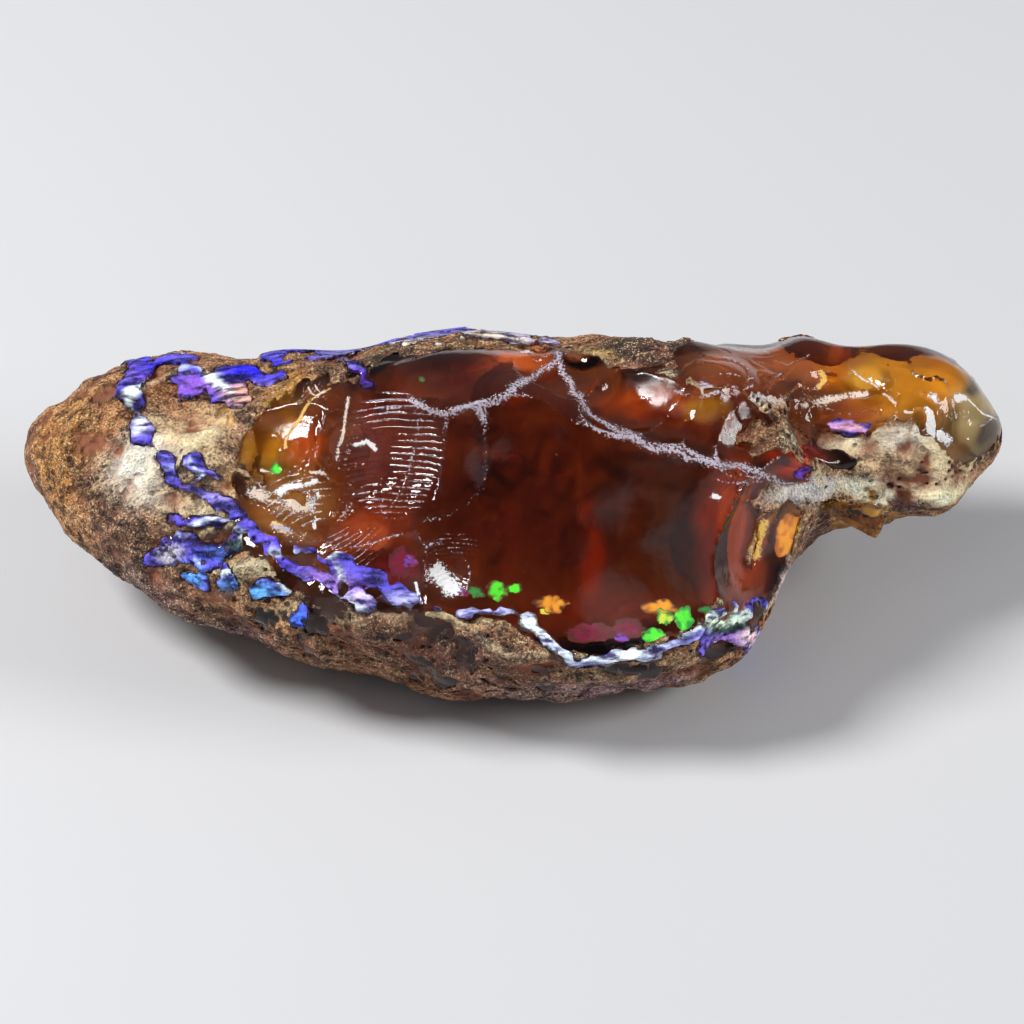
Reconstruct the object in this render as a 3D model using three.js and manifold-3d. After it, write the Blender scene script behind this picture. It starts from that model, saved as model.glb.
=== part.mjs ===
// A rough fire opal: one natural nodule, longer than it is wide, with a bulb at one end.
// The nodule grew as a single stone, so it is a single solid. Its skin has been broken
// through by shell-shaped (conchoidal) breaks, and one side is flat enough to lie on.
// Millimetres, +Z up, X along the stone. The origin is under the middle of its box.

import * as THREE from 'three';
import { mergeVertices } from 'three/addons/utils/BufferGeometryUtils.js';
import { ConvexGeometry } from 'three/addons/geometries/ConvexGeometry.js';
import Module from 'manifold-3d';

// ---- Driving dimensions ----

const HALF_LENGTH = 32.2; // from the middle of the stone to either tip
const SQUARENESS = 2.15; // exponent of each cross-section: 2 is an ellipse, more is boxier

// Cross-sections of the unbroken nodule along its length. `middle` is the [y, z] of the
// widest point. The four reaches go from there to the near, far, under and upper side, as
// they would be if the stone did not round off towards its tips.
const SECTIONS = [
  { x: -32.2, middle: [5.7, 9.6], near: 11.5, far: 11.5, under: 10.0, upper: 10.0 },
  { x: -27.0, middle: [5.0, 9.4], near: 13.6, far: 12.3, under: 11.4, upper: 10.6 },
  { x: -20.0, middle: [2.6, 9.1], near: 13.0, far: 12.4, under: 9.9, upper: 9.8 },
  { x: -10.0, middle: [0.8, 9.0], near: 13.0, far: 12.7, under: 9.8, upper: 9.8 },
  { x: -5.0, middle: [0.4, 9.0], near: 13.1, far: 13.3, under: 9.8, upper: 11.0 },
  { x: 0.0, middle: [0.0, 9.0], near: 13.3, far: 13.2, under: 9.8, upper: 11.0 },
  { x: 4.5, middle: [0.1, 9.0], near: 13.4, far: 12.6, under: 9.8, upper: 10.2 },
  { x: 9.0, middle: [0.2, 9.0], near: 13.5, far: 13.4, under: 9.9, upper: 11.1 },
  { x: 13.5, middle: [0.9, 9.2], near: 13.2, far: 13.3, under: 9.9, upper: 10.9 },
  { x: 16.2, middle: [2.6, 9.6], near: 11.9, far: 11.6, under: 8.8, upper: 9.6 },
  { x: 18.6, middle: [4.8, 10.2], near: 9.2, far: 9.7, under: 7.6, upper: 8.6 },
  { x: 21.5, middle: [5.8, 10.6], near: 8.0, far: 8.4, under: 7.1, upper: 7.6 },
  { x: 25.0, middle: [6.2, 11.0], near: 8.9, far: 9.8, under: 8.0, upper: 8.8 },
  { x: 28.5, middle: [6.2, 11.2], near: 10.4, far: 10.6, under: 9.6, upper: 10.2 },
  { x: 32.2, middle: [6.2, 11.2], near: 9.6, far: 10.0, under: 9.6, upper: 10.0 },
];

// Gentle swells of the natural skin: each is a sine wave of this height that runs in the
// direction `along`, in radians per millimetre.
const SWELLS = [
  { height: 0.32, along: [0.31, 0.42, -0.28], start: 1.1 },
  { height: 0.2, along: [-0.47, 0.5, 0.61], start: 2.3 },
  { height: 0.13, along: [0.9, 0.37, 0.7], start: 0.4 },
  { height: 0.1, along: [0.35, -1.1, 0.8], start: 4.0 },
];

// The two faces that the breaks are placed on, as the directions across, up and out of each.
// The show face looks up and towards the front, the far face straight back.
const TILT = THREE.MathUtils.degToRad(42);
const SHOW_FACE = {
  across: new THREE.Vector3(1, 0, 0),
  up: new THREE.Vector3(0, Math.sin(TILT), Math.cos(TILT)),
  out: new THREE.Vector3(0, -Math.cos(TILT), Math.sin(TILT)),
};
const FAR_FACE = {
  across: new THREE.Vector3(1, 0, 0),
  up: new THREE.Vector3(0, 0, 1),
  out: new THREE.Vector3(0, 1, 0),
};

// The conchoidal breaks. Each has the shape of a ball pressed into the stone: `place` is the
// middle of it across and up its face, `sink` how deep it goes there, `looks` the way it
// looks in the face's own directions, `radius` that of the ball.
const SHOW_BREAKS = [
  // the two small amber windows at the left, the step under them and the rippled face
  { place: [-15.3, 13.0], sink: 1.3, looks: [-0.25, 0.15, 1], radius: 7 },
  { place: [-12.3, 11.8], sink: 1.3, looks: [0.15, 0.05, 1], radius: 7.5 },
  { place: [-14.1, 7.7], sink: 0.8, looks: [-0.1, -0.1, 1], radius: 7 },
  { place: [-8.8, 11.3], sink: 1.25, looks: [-0.05, 0.05, 1], radius: 9 },
  { place: [-8.3, 4.7], sink: 1.5, looks: [0, -0.05, 1], radius: 10 },
  // the large clear window: a hollow and an eye at its left, a notch above, a shoulder at its right
  { place: [-2.4, 10.9], sink: 2.3, looks: [-0.1, 0, 1], radius: 10 },
  { place: [5.7, 6.2], sink: 4.25, looks: [0, 0.12, 1], radius: 38 },
  { place: [3.0, 17.2], sink: 1.0, looks: [0.05, 0.3, 1], radius: 3.5 },
  { place: [17.1, 4.9], sink: 2.9, looks: [0.75, -0.15, 1], radius: 10 },
  { place: [-4.0, 3.7], sink: 3.4, looks: [0, 0, 1], radius: 3.2 },
  // the troughs behind the crest of the window
  { place: [7.5, 15.1], sink: 1.7, looks: [0.05, 0.45, 1], radius: 4.6 },
  { place: [9.9, 13.5], sink: 1.9, looks: [0.05, 0.45, 1], radius: 5 },
  { place: [12.6, 12.8], sink: 1.8, looks: [0.1, 0.4, 1], radius: 5.2 },
  { place: [15.7, 11.8], sink: 1.6, looks: [0.2, 0.35, 1], radius: 4.6 },
  // the lobe, the facet and the lens between the troughs and the bulb
  { place: [14.7, 14.1], sink: 0.9, looks: [0.1, 0.2, 1], radius: 5 },
  { place: [23.2, 15.9], sink: 0.5, looks: [-0.3, 0.35, 1], radius: 4 },
  { place: [22.2, 13.7], sink: 0.65, looks: [0, 0, 1], radius: 4.5 },
  // shallow scars in the skin of the left half, and a pocket at the lower right
  { place: [-19.9, 8.9], sink: 0.9, looks: [-0.2, 0, 1], radius: 11 },
  { place: [-19.7, 5.9], sink: 1.3, looks: [-0.1, -0.2, 1], radius: 2.6 },
  { place: [-21.6, 15.9], sink: 0.7, looks: [-0.15, 0.6, 1], radius: 7 },
  { place: [-14.3, 4.1], sink: 1.1, looks: [-0.1, -0.3, 1], radius: 6 },
  { place: [14.5, -0.8], sink: 1.5, looks: [0.4, -0.55, 1], radius: 4 },
];
const FAR_BREAKS = [
  { place: [-7.0, 11.5], sink: 1.8, looks: [-0.15, 0.4, 1], radius: 12 },
  { place: [11.0, 8.0], sink: 1.7, looks: [0.2, -0.1, 1], radius: 9 },
];

// A thin wedge of opal that juts out under the bulb: its corners, the last one inside.
const WEDGE_CORNERS = [
  [19.3, -1.5, 11.5],
  [25.1, -0.1, 10.4],
  [23.9, 0.1, 6.7],
  [22.5, 4.4, 9.3],
];

// ---- How finely the curved surfaces are faceted ----

const STEPS_ALONG = 62; // facets from tip to tip
const STEPS_AROUND = 36; // facets round a cross-section
const BREAK_SIDES = 24; // facets round a break
const BREAK_RINGS = 6; // rings of facets from the deepest point of a break to its edge
const BREAK_REACH = 14; // how far out of its deepest point the curved face of a break is cut
const BREAK_LID = 1; // how far the straight wall of the cutting tool goes on after that
const WELD = 1e-5; // corners closer than this are one
const SEARCH = 0.02; // step of the search for the skin under a place on a face

// A smooth curve through the sections' values, read at x.
function alongSections(value, x) {
  const last = SECTIONS.length - 2;
  let i = 0;
  while (i < last && x > SECTIONS[i + 1].x) i += 1;
  const slope = (a, b) => (value(SECTIONS[b]) - value(SECTIONS[a])) / (SECTIONS[b].x - SECTIONS[a].x);
  const slopeHere = slope(Math.max(i - 1, 0), i + 1);
  const slopeNext = slope(i, Math.min(i + 2, last + 1));
  const width = SECTIONS[i + 1].x - SECTIONS[i].x;
  const t = THREE.MathUtils.clamp((x - SECTIONS[i].x) / width, 0, 1);
  return (
    (2 * t ** 3 - 3 * t ** 2 + 1) * value(SECTIONS[i]) +
    (t ** 3 - 2 * t ** 2 + t) * width * slopeHere +
    (3 * t ** 2 - 2 * t ** 3) * value(SECTIONS[i + 1]) +
    (t ** 3 - t ** 2) * width * slopeNext
  );
}

// How far the natural skin stands out or in at a point.
function swell(point) {
  let height = 0;
  for (const wave of SWELLS) {
    height += wave.height * Math.sin(point.dot(new THREE.Vector3(...wave.along)) + wave.start);
  }
  return height;
}

// How deep a point lies under the unbroken skin; negative outside.
function skinDepth(point) {
  const roundOff = Math.sqrt(Math.max(1 - (point.x / HALF_LENGTH) ** 2, 0));
  const sideways = point.y - alongSections((s) => s.middle[0], point.x);
  const upward = point.z - alongSections((s) => s.middle[1], point.x);
  const reachY = alongSections((s) => (sideways < 0 ? s.near : s.far), point.x) * roundOff;
  const reachZ = alongSections((s) => (upward < 0 ? s.under : s.upper), point.x) * roundOff;
  const shareY = Math.abs(sideways / reachY) ** SQUARENESS;
  const shareZ = Math.abs(upward / reachZ) ** SQUARENESS;
  const share = (shareY + shareZ) ** (1 / SQUARENESS);
  return ((1 - share) * (reachY + reachZ)) / 2 + swell(point);
}

// The point of a face's own frame with these coordinates across, up and out.
function onFace(face, across, up, out) {
  return new THREE.Vector3()
    .addScaledVector(face.across, across)
    .addScaledVector(face.up, up)
    .addScaledVector(face.out, out);
}

// How far out of a face the unbroken skin is at a place on it.
function skinReach(face, [across, up]) {
  let out = HALF_LENGTH;
  while (skinDepth(onFace(face, across, up, out)) < 0) out -= SEARCH;
  return out;
}

// Only position is kept, so that vertices on the seam of a three.js shape can be joined.
function welded(geometry) {
  geometry.deleteAttribute('normal');
  geometry.deleteAttribute('uv');
  return mergeVertices(geometry, WELD);
}

// The unbroken nodule: a ball whose meridians are pulled out to the cross-sections.
function nodule() {
  const ball = new THREE.SphereGeometry(1, STEPS_AROUND, STEPS_ALONG).rotateZ(Math.PI / 2);
  const geometry = welded(ball);
  const position = geometry.getAttribute('position');
  const point = new THREE.Vector3();
  const outward = new THREE.Vector3();
  for (let i = 0; i < position.count; i += 1) {
    point.fromBufferAttribute(position, i);
    const x = point.x * HALF_LENGTH;
    const roundOff = Math.hypot(point.y, point.z);
    const angle = Math.atan2(point.z, point.y);
    const sideways = Math.cos(angle);
    const upward = Math.sin(angle);
    const reachY = alongSections((s) => (sideways < 0 ? s.near : s.far), x) * roundOff;
    const reachZ = alongSections((s) => (upward < 0 ? s.under : s.upper), x) * roundOff;
    const y = Math.sign(sideways) * Math.abs(sideways) ** (2 / SQUARENESS) * reachY;
    const z = Math.sign(upward) * Math.abs(upward) ** (2 / SQUARENESS) * reachZ;
    const towardsTip = Math.sign(x) * (1 - roundOff);
    outward.set(towardsTip, sideways * roundOff, upward * roundOff).normalize();
    point.set(x, alongSections((s) => s.middle[0], x) + y, alongSections((s) => s.middle[1], x) + z);
    point.addScaledVector(outward, swell(point));
    position.setXYZ(i, point.x, point.y, point.z);
  }
  return geometry;
}

// The tool that makes a break: the near part of its ball, closed by a straight wall and a top.
function breakCutter(face, { place, sink, looks, radius }) {
  const widest = Math.acos(Math.max(1 - BREAK_REACH / radius, 0));
  const profile = [];
  for (let ring = 0; ring <= BREAK_RINGS; ring += 1) {
    const angle = (widest * ring) / BREAK_RINGS;
    profile.push(new THREE.Vector2(radius * Math.sin(angle), radius * (1 - Math.cos(angle))));
  }
  const top = BREAK_REACH + BREAK_LID;
  profile.push(new THREE.Vector2(radius * Math.sin(widest), top));
  profile.push(new THREE.Vector2(0, top));
  const geometry = welded(new THREE.LatheGeometry(profile, BREAK_SIDES));
  const outOfStone = onFace(face, ...looks).normalize();
  const deepest = onFace(face, ...place, skinReach(face, place) - sink);
  const turn = new THREE.Quaternion().setFromUnitVectors(new THREE.Vector3(0, 1, 0), outOfStone);
  geometry.applyQuaternion(turn);
  return geometry.translate(deepest.x, deepest.y, deepest.z);
}

// The wedge under the bulb.
function wedge() {
  return welded(new ConvexGeometry(WEDGE_CORNERS.map((corner) => new THREE.Vector3(...corner))));
}

// Everything below the level that the stone lies on.
function belowRest() {
  const depth = HALF_LENGTH;
  const slab = new THREE.BoxGeometry(4 * HALF_LENGTH, 4 * HALF_LENGTH, depth);
  return welded(slab.translate(0, 0, -depth / 2));
}

const wasm = await Module();
wasm.setup();

function toSolid(geometry) {
  const mesh = new wasm.Mesh({
    numProp: 3,
    vertProperties: new Float32Array(geometry.getAttribute('position').array),
    triVerts: new Uint32Array(geometry.index.array),
  });
  return new wasm.Manifold(mesh);
}

function toGeometry(solid) {
  const mesh = solid.getMesh();
  const geometry = new THREE.BufferGeometry();
  geometry.setAttribute('position', new THREE.BufferAttribute(mesh.vertProperties, 3));
  geometry.setIndex(new THREE.BufferAttribute(mesh.triVerts, 1));
  return geometry;
}

// The nodule with its wedge, less every break and whatever lies below the flat it rests on.
function opalNodule() {
  let solid = toSolid(nodule()).add(toSolid(wedge()));
  for (const shell of SHOW_BREAKS) {
    solid = solid.subtract(toSolid(breakCutter(SHOW_FACE, shell)));
  }
  for (const shell of FAR_BREAKS) {
    solid = solid.subtract(toSolid(breakCutter(FAR_FACE, shell)));
  }
  solid = solid.subtract(toSolid(belowRest()));
  const geometry = toGeometry(solid);
  geometry.computeBoundingBox();
  const middle = geometry.boundingBox.getCenter(new THREE.Vector3());
  geometry.translate(-middle.x, -middle.y, 0);
  geometry.computeVertexNormals();
  return geometry;
}

const opal = new THREE.MeshStandardMaterial({ color: 0x8a4a22, roughness: 0.4, metalness: 0 });
const stone = new THREE.Mesh(opalNodule(), opal);
stone.name = 'opal_nodule';

const model = new THREE.Group();
model.add(stone);
export default model;
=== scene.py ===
"""A rough fire opal: clear red-amber opal seen through breaks in a brown host-rock skin.

The whole stone comes from one description, in millimetres: the unbroken nodule, which is
the same as the CAD model's, and the ball-shaped breaks in it. How deep a point lies under the
unbroken skin says what it is made of: host rock outside, then clear opal over milky opal. Thin
flakes of pure colour are sealed just under the clear surface, and glow with painted light.
"""
import math
from itertools import product

import bmesh
import bpy
import numpy as np
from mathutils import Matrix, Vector


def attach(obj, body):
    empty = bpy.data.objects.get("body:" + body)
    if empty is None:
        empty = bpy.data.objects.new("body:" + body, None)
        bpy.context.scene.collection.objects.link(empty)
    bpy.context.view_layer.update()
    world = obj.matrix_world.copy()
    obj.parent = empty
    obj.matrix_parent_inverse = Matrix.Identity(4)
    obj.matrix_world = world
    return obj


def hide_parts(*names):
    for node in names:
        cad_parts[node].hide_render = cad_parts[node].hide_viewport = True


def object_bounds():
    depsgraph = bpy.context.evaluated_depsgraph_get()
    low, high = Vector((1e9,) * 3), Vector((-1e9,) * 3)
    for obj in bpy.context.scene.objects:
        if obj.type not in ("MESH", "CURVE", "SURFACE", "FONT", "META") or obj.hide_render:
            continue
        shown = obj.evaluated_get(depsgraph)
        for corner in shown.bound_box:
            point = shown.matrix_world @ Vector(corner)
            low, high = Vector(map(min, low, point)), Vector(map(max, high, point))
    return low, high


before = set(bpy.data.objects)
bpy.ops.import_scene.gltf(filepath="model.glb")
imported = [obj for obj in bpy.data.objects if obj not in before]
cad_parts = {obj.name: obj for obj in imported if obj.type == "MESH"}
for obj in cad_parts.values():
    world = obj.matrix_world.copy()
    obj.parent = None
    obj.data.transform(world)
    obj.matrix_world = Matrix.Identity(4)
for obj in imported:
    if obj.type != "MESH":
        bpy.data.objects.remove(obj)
cad_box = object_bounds()

MM = 0.001
CAD_LOW, CAD_HIGH = np.array(cad_box) / MM

# ---- The unbroken nodule, as in the CAD model ----

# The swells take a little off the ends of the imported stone, less than a tenth.
HALF_LENGTH = math.ceil(10 * (CAD_HIGH - CAD_LOW)[0] / 2) / 10
SQUARENESS = 2.15  # 2 is an oval section, and more is squarer
# x, middle y, middle z, then the reaches to the near, far, under and upper side
SECTIONS = np.array([
    (-HALF_LENGTH, 5.7, 9.6, 11.5, 11.5, 10.0, 10.0),
    (-27.0, 5.0, 9.4, 13.6, 12.3, 11.4, 10.6),
    (-20.0, 2.6, 9.1, 13.0, 12.4, 9.9, 9.8),
    (-10.0, 0.8, 9.0, 13.0, 12.7, 9.8, 9.8),
    (-5.0, 0.4, 9.0, 13.1, 13.3, 9.8, 11.0),
    (0.0, 0.0, 9.0, 13.3, 13.2, 9.8, 11.0),
    (4.5, 0.1, 9.0, 13.4, 12.6, 9.8, 10.2),
    (9.0, 0.2, 9.0, 13.5, 13.4, 9.9, 11.1),
    (13.5, 0.9, 9.2, 13.2, 13.3, 9.9, 10.9),
    (16.2, 2.6, 9.6, 11.9, 11.6, 8.8, 9.6),
    (18.6, 4.8, 10.2, 9.2, 9.7, 7.6, 8.6),
    (21.5, 5.8, 10.6, 8.0, 8.4, 7.1, 7.6),
    (25.0, 6.2, 11.0, 8.9, 9.8, 8.0, 8.8),
    (28.5, 6.2, 11.2, 10.4, 10.6, 9.6, 10.2),
    (HALF_LENGTH, 6.2, 11.2, 9.6, 10.0, 9.6, 10.0),
])
# height, direction in radians per millimetre, start
SWELLS = (
    (0.32, (0.31, 0.42, -0.28), 1.1),
    (0.2, (-0.47, 0.5, 0.61), 2.3),
    (0.13, (0.9, 0.37, 0.7), 0.4),
    (0.1, (0.35, -1.1, 0.8), 4),
)
# The ball-shaped breaks. Each row gives the place of its middle on a face of the stone, how far
# under the skin it goes there, the way it looks in that face's own directions, and its radius.
SHOW_BREAKS = {
    "amber_left": ((-15.3, 13), 1.3, (-0.25, 0.15, 1), 7),
    "amber_right": ((-12.3, 11.8), 1.3, (0.15, 0.05, 1), 7.5),
    "steps": ((-14.1, 7.7), 0.8, (-0.1, -0.1, 1), 7),
    "rippled": ((-8.8, 11.3), 1.25, (-0.05, 0.05, 1), 9),
    "lower": ((-8.3, 4.7), 1.5, (0, -0.05, 1), 10),
    "hollow": ((-2.4, 10.9), 2.3, (-0.1, 0, 1), 10),
    "window": ((5.7, 6.2), 4.25, (0, 0.12, 1), 38),
    "notch": ((3, 17.2), 1, (0.05, 0.3, 1), 3.5),
    "shoulder": ((17.1, 4.9), 2.9, (0.75, -0.15, 1), 10),
    "eye": ((-4, 3.7), 3.4, (0, 0, 1), 3.2),
    "trough_1": ((7.5, 15.1), 1.7, (0.05, 0.45, 1), 4.6),
    "trough_2": ((9.9, 13.5), 1.9, (0.05, 0.45, 1), 5),
    "trough_3": ((12.6, 12.8), 1.8, (0.1, 0.4, 1), 5.2),
    "trough_4": ((15.7, 11.8), 1.6, (0.2, 0.35, 1), 4.6),
    "lobe": ((14.7, 14.1), 0.9, (0.1, 0.2, 1), 5),
    "facet": ((23.2, 15.9), 0.5, (-0.3, 0.35, 1), 4),
    "lens": ((22.2, 13.7), 0.65, (0, 0, 1), 4.5),
    "left_scar": ((-19.9, 8.9), 0.9, (-0.2, 0, 1), 11),
    "cavity": ((-19.7, 5.9), 1.3, (-0.1, -0.2, 1), 2.6),
    "top_scar": ((-21.6, 15.9), 0.7, (-0.15, 0.6, 1), 7),
    "seam_scar": ((-14.3, 4.1), 1.1, (-0.1, -0.3, 1), 6),
    "pocket": ((14.5, -0.8), 1.5, (0.4, -0.55, 1), 4),
}
FAR_BREAKS = {
    "back_scar": ((-7, 11.5), 1.8, (-0.15, 0.4, 1), 12),
    "back_low_scar": ((11, 8), 1.7, (0.2, -0.1, 1), 9),
}
WEDGE_CORNERS = np.array([
    (19.3, -1.5, 11.5),
    (25.1, -0.1, 10.4),
    (23.9, 0.1, 6.7),
    (22.5, 4.4, 9.3),
])

CELL = 0.25  # size of the grid that the surfaces are drawn on


def unit(vector):
    """The vector, or each row of an array, at length 1."""
    vector = np.asarray(vector, float)
    return vector / np.maximum(np.linalg.norm(vector, axis=-1, keepdims=True), 1e-12)


# ---- Smooth noise ----

LATTICE_SIZE = 32
LATTICE = np.random.default_rng(7).uniform(-1.0, 1.0, (LATTICE_SIZE,) * 3).astype(np.float32)


def noise(points, scale, seed=0):
    """Smooth noise from -1 to 1 whose lumps are about `scale` across."""
    cells = np.asarray(points, np.float32) / scale + np.float32(seed * 7.31)
    corner = np.floor(cells)
    t = cells - corner
    t = t * t * (3.0 - 2.0 * t)
    low = corner.astype(np.int32) % LATTICE_SIZE
    high = (low + 1) % LATTICE_SIZE
    total = 0.0
    for step in product((0, 1), repeat=3):
        share = 1.0
        for axis, one in enumerate(step):
            share = share * (t[..., axis] if one else 1.0 - t[..., axis])
        i, j, k = ((high if one else low)[..., axis] for axis, one in enumerate(step))
        total = total + share * LATTICE[i, j, k]
    return total


def wandered(points, far, scale, seed=0):
    """The points moved about by smooth noise, so that what is drawn there gets wavy edges."""
    shifts = [noise(points, scale, seed + axis) for axis in range(3)]
    return points + far * np.stack(shifts, -1)


# ---- The stone as one field: negative inside ----

def along_sections(x):
    """The sections' values at x, on a smooth curve through them."""
    place = SECTIONS[:, 0]
    value = SECTIONS[:, 1:]
    slope = np.empty_like(value)
    slope[0] = (value[1] - value[0]) / (place[1] - place[0])
    slope[-1] = (value[-1] - value[-2]) / (place[-1] - place[-2])
    slope[1:-1] = (value[2:] - value[:-2]) / (place[2:] - place[:-2])[:, None]
    x = np.clip(x, place[0], place[-1])
    i = np.clip(np.searchsorted(place, x) - 1, 0, len(place) - 2)
    width = (place[i + 1] - place[i])[..., None]
    t = (x - place[i])[..., None] / width
    return (
        (2 * t**3 - 3 * t**2 + 1) * value[i]
        + (t**3 - 2 * t**2 + t) * width * slope[i]
        + (3 * t**2 - 2 * t**3) * value[i + 1]
        + (t**3 - t**2) * width * slope[i + 1]
    )


def swell(points):
    """How far the natural skin stands out or in."""
    height = 0.0
    for size, along, start in SWELLS:
        height = height + size * np.sin(points @ np.array(along) + start)
    return height


def skin_depth(points):
    """How deep a point lies under the unbroken skin; negative outside."""
    x, y, z = points[..., 0], points[..., 1], points[..., 2]
    middle_y, middle_z, near_side, far_side, under, upper = np.moveaxis(along_sections(x), -1, 0)
    round_off = np.sqrt(np.clip(1.0 - (x / HALF_LENGTH) ** 2, 1e-6, 1.0))
    reach_y = np.where(y < middle_y, near_side, far_side) * round_off
    reach_z = np.where(z < middle_z, under, upper) * round_off
    share_y = np.abs(y - middle_y) / reach_y
    share_z = np.abs(z - middle_z) / reach_z
    share = (share_y**SQUARENESS + share_z**SQUARENESS) ** (1.0 / SQUARENESS)
    return (1.0 - share) * (reach_y + reach_z) / 2.0 + swell(points)


def hull_planes(corners):
    """The outward faces of a tetrahedron, as normals and offsets."""
    middle = corners.mean(axis=0)
    for skip in range(4):
        a, b, c = np.delete(corners, skip, axis=0)
        normal = unit(np.cross(b - a, c - a))
        if normal @ (a - middle) < 0:
            normal = -normal
        yield normal, normal @ a


WEDGE_PLANES = list(hull_planes(WEDGE_CORNERS))


def wedge_field(points):
    """The wedge of opal under the bulb."""
    return np.max([points @ normal - offset for normal, offset in WEDGE_PLANES], axis=0)


# ---- Places on a face of the stone ----

# The show face looks up and towards the front, the far face straight back. Each is given by the
# directions across it, up it and out of it. A place on it is (across, up), in millimetres from
# the middle of the flat that the stone rests on.
TILT = math.radians(42)
ACROSS = np.array([1.0, 0.0, 0.0])
UP = np.array([0.0, math.sin(TILT), math.cos(TILT)])
OUT = np.array([0.0, -math.cos(TILT), math.sin(TILT)])
SHOW_FACE = np.array([ACROSS, UP, OUT])
FAR_FACE = np.array([(1.0, 0.0, 0.0), (0.0, 0.0, 1.0), (0.0, 1.0, 0.0)])
CLEAR_OF_STONE = 26.0  # farther out than this from the rest flat there is no stone
SEARCH_STEPS = 80


def surface_point(place, field, face):
    """The point where a field turns negative, going in from outside a face at a place on it."""
    point = np.asarray(place, float) @ face[:2] + CLEAR_OF_STONE * face[2]
    for step in (0.4, 0.04):
        ways_in = step * np.arange(SEARCH_STEPS)
        lines = point[..., None, :] - ways_in[:, None] * face[2]
        first = np.argmax(field(lines) < 0, axis=-1)
        point = point - np.maximum(ways_in[first] - step, 0.0)[..., None] * face[2]
    return point - step * face[2]


def break_balls():
    """The middle and the radius of each break's ball."""
    for face, breaks in ((SHOW_FACE, SHOW_BREAKS), (FAR_FACE, FAR_BREAKS)):
        for place, sink, looks, radius in breaks.values():
            skin = surface_point(place, lambda points: -skin_depth(points), face)
            yield skin - sink * face[2] + radius * unit(looks) @ face, radius


BREAK_BALLS = list(break_balls())
WINDOW = list(SHOW_BREAKS).index("window")
RAGGED = 0.5  # how far the edges of the breaks wander from perfect rings


def inside_balls(points):
    """How far inside each break's ball each point is, with wandering edges, and which way is out."""
    loose = wandered(points, RAGGED, 3.6, 11)
    for centre, radius in BREAK_BALLS:
        offset = centre - loose
        far = np.linalg.norm(offset, axis=-1)
        yield radius - far, offset / far[..., None]


def taken_away(points):
    """Positive where some break took stone away, by how far inside its ball a point lies."""
    return np.max([inside for inside, _ in inside_balls(points)], axis=0)


def stone_field(points, depth=None):
    """The whole stone with its breaks and the flat that it rests on."""
    depth = skin_depth(points) if depth is None else depth
    field = np.minimum(-depth, wedge_field(points))
    field = np.maximum(field, taken_away(points))
    return np.maximum(field, -points[..., 2])


def on_face(place):
    """The point of the stone's surface at a place on its show face, or at each row of places."""
    return surface_point(place, stone_field, SHOW_FACE)


def dropped(table, deep=3.0):
    """The rows of a table with their places turned into points and their reaches into three."""
    return [(on_face(place), (*reach, deep), *rest) for place, reach, *rest in table]


def near(points, centre, reach):
    """1 at the centre, falling smoothly to 0; the reaches are across, up and out."""
    offset = (points - centre) @ SHOW_FACE.T / np.array(reach)
    return np.exp(-np.sum(offset * offset, axis=-1))


def across_up(points):
    """Where points lie on the show face."""
    return points @ np.array([ACROSS, UP]).T


def path_distance(places, path):
    """How far each place on the show face is from a path of straight stretches."""
    nearest = np.full(places.shape[:-1], np.inf)
    for start, end in zip(np.array(path[:-1]), np.array(path[1:])):
        along = end - start
        share = np.clip((places - start) @ along / (along @ along), 0.0, 1.0)
        offset = places - start - share[..., None] * along
        nearest = np.minimum(nearest, np.linalg.norm(offset, axis=-1))
    return nearest


# ---- What the stone is made of ----

MIDDLE = np.array([0.0, 0.0, 9.0])
RIND = 0.55  # usual thickness of the host-rock skin
BACK_RIND = 0.7  # how much more of it there is at the back
LAP = 0.15  # how far one layer reaches into the next
ROCK_END = -17.3  # left of this the stone is host rock right through
VEIN_DEPTH = 1.5  # how deep the veins of host rock reach
RIBBON_DEPTH = 0.5  # how deep the ribbons of milky opal reach
PATH_CARE = 3.0  # farther than this from a path it does not matter how far
# place, reach, how much skin is missing: there the clear opal is the natural surface
BARE = (
    ((-11, 9), (6.5, 6), 1.15),  # the glassy left of the window
    ((-2, 16), (4, 1.8), 2.4),  # the dome
    ((3.4, 15.6), (1.4, 2.4), 1.6),  # the crest right of it
    ((25.5, 16.5), (4.3, 2.8), 2.6),  # the cap of the bulb
    ((30, 13.5), (2.2, 2.2), 2.6),  # its tip
    ((17, 17.5), (5.5, 2), 2.6),  # the lobes left of it
    ((21.5, 10.5), (0.9, 0.5), 1.7),  # a small window in the matrix under them
)
MILK_DEPTH = 2.2  # how deep the clear opal usually is over milky opal, which sends light back
# place, reach, how deep the clear opal is there instead
DEEP = (
    ((-8, 11), (2.6, 3.6), 3),  # the rippled face
    ((-2, 9.5), (4.2, 4.4), 4.8),  # the left of the window
    ((5.5, 7), (10.5, 5.6), 5.6),  # the window
    ((10.5, 12), (6.5, 1.6), 3.4),  # right behind the ridge
    ((-11.5, 13.5), (1.2, 1.6), 2.8),  # between the amber windows
    ((30.5, 13.5), (2, 2.8), 1.5),  # the tip
    ((14.5, 5), (1.6, 4.6), 1.2),  # the band at the right end of the window
    ((-9.5, 5.5), (2, 1.2), 1.4),  # the glow under the rippled face
    ((17.8, 5.8), (1.2, 1.8), 0.6),  # the golden facet right of it
    ((23.2, 15.8), (1.4, 1), 0.7),  # the bright facet of the bulb
    ((0.4, 16.8), (2.4, 0.9), 1.2),  # the mottled end of the dome
    ((4.3, 17.7), (1.3, 0.9), 0.7),  # behind its right end
)
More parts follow.
